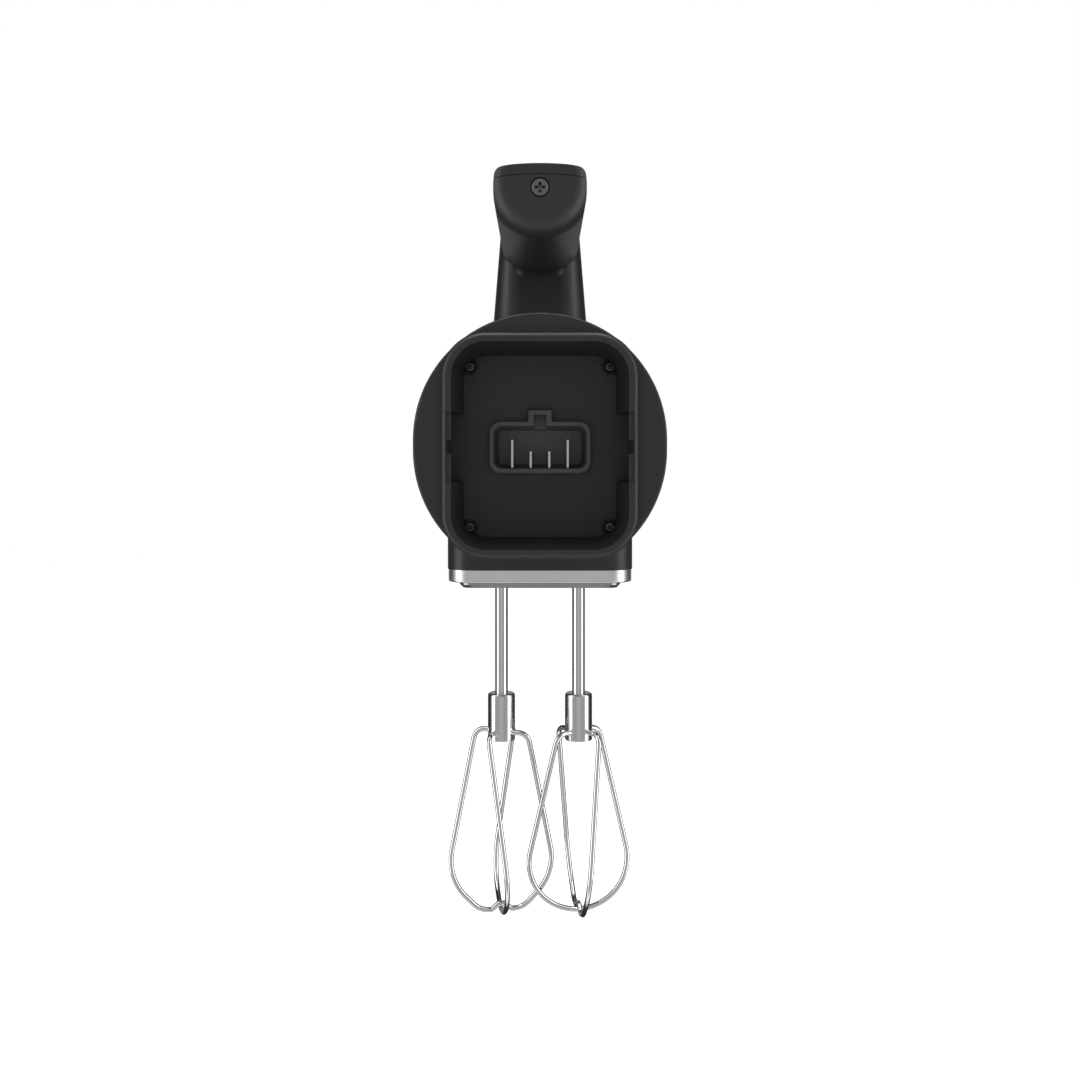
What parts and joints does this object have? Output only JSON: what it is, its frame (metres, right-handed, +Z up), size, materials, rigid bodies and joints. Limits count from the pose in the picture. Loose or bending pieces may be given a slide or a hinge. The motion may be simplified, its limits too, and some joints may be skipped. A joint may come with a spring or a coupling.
{
  "type": "hand mixer",
  "caption": "Cordless hand mixer with an open-ended grip, a rear battery dock, a steel-banded foot and two intermeshing wire beaters.",
  "frame": {"origin": "midway between the two beater axes, on the underside of the base plate", "axes": "+Z up through the grip, parallel to the beaters; +Y from the battery dock to the nose; +X to the right seen from the dock"},
  "size_m": [0.0996, 0.143, 0.3327],
  "materials": {
    "shell_plastic": "fine satin texture, charcoal",
    "grip_plastic": "fine satin texture, charcoal",
    "control_plastic": "satin, dark grey",
    "brushed_steel": "brushed along the band",
    "polished_steel": "polished stainless steel",
    "dark_screw_steel": "dark passivated",
    "blade_metal": "tinned copper",
    "cast_alloy": "die cast, fine grain",
    "bush_bronze": "sintered bronze",
    "seal_rubber": "matt rubber",
    "motor_steel": "zinc plated",
    "magnet_ferrite": "sintered ferrite and carbon",
    "gear_plastic": "natural acetal",
    "copper": "enamelled copper",
    "spring_steel": "drawn spring wire",
    "circuit_board": "laminate with small chips"
  },
  "bodies": {
    "body": {"base_plate": "shell_plastic", "base_screws": "dark_screw_steel", "brush_springs": "spring_steel", "carbon_brushes": "magnet_ferrite", "connector_housing": "shell_plastic", "control_board": "circuit_board", "dock_screws": "dark_screw_steel", "gearbox_cap": "cast_alloy", "gearbox_frame": "cast_alloy", "gearbox_screws": "dark_screw_steel", "handle_screw": "dark_screw_steel", "handle_top_cover": "grip_plastic", "lower_bushes": "bush_bronze", "main_housing": "shell_plastic", "motor_bearings": "bush_bronze", "motor_can": "motor_steel", "motor_end_bell": "gear_plastic", "motor_magnets": "magnet_ferrite", "motor_screws": "dark_screw_steel", "power_blades": "blade_metal", "power_wires": "copper", "rear_cover": "shell_plastic", "shaft_seals": "seal_rubber", "signal_blades": "blade_metal", "speed_switch": "control_plastic", "steel_band": "brushed_steel", "upper_bushes": "bush_bronze", "worm_tail_bush": "bush_bronze"},
    "armature": {"motor_shaft": "motor_steel", "armature_core": "motor_steel", "armature_windings": "copper", "commutator": "copper", "cooling_fan": "gear_plastic", "worm": "motor_steel"},
    "drive_left": {"spindle_left": "motor_steel", "worm_wheel_left": "gear_plastic", "retaining_clip_left": "motor_steel"},
    "drive_right": {"spindle_right": "motor_steel", "worm_wheel_right": "gear_plastic", "retaining_clip_right": "motor_steel"},
    "beater_left": {"beater_left_shaft": "polished_steel", "beater_left_collar": "polished_steel", "beater_left_loop_a": "polished_steel", "beater_left_loop_b": "polished_steel"},
    "beater_right": {"beater_right_shaft": "polished_steel", "beater_right_collar": "polished_steel", "beater_right_loop_a": "polished_steel", "beater_right_loop_b": "polished_steel"},
    "ejector": {"eject_button": "control_plastic", "ejector_rod": "motor_steel", "ejector_yoke": "gear_plastic", "eject_spring": "spring_steel"},
    "speed_control": {"speed_slider": "control_plastic", "slider_wiper": "blade_metal"}
  },
  "joints": [
    {"name": "motor_spin", "type": "hinge", "parent": "body", "child": "armature", "pos_m": [0, 0, 0.046], "axis": [0, 1, 0], "continuous": true},
    {"name": "drive_left_spin", "type": "hinge", "parent": "body", "child": "drive_left", "pos_m": [-0.018, 0, 0.046], "axis": [0, 0, 1], "continuous": true},
    {"name": "drive_right_spin", "type": "hinge", "parent": "body", "child": "drive_right", "pos_m": [0.018, 0, 0.046], "axis": [0, 0, 1], "continuous": true},
    {"name": "beater_left_release", "type": "slide", "parent": "drive_left", "child": "beater_left", "axis": [0, 0, -1], "range_m": [0, 0.03]},
    {"name": "beater_right_release", "type": "slide", "parent": "drive_right", "child": "beater_right", "axis": [0, 0, -1], "range_m": [0, 0.03]},
    {"name": "eject_button_press", "type": "slide", "parent": "body", "child": "ejector", "axis": [0, 0, -1], "range_m": [0, 0.006], "stiffness_N_per_m": 900, "springref_m": -0.003, "deforming": ["eject_spring"]},
    {"name": "speed_slide", "type": "slide", "parent": "body", "child": "speed_control", "axis": [0, 1, 0], "range_m": [0, 0.018]}
  ],
  "couplings": [
    {"joint": "drive_left_spin", "follows": "motor_spin", "ratio": -0.074074},
    {"joint": "drive_right_spin", "follows": "motor_spin", "ratio": 0.074074}
  ]
}
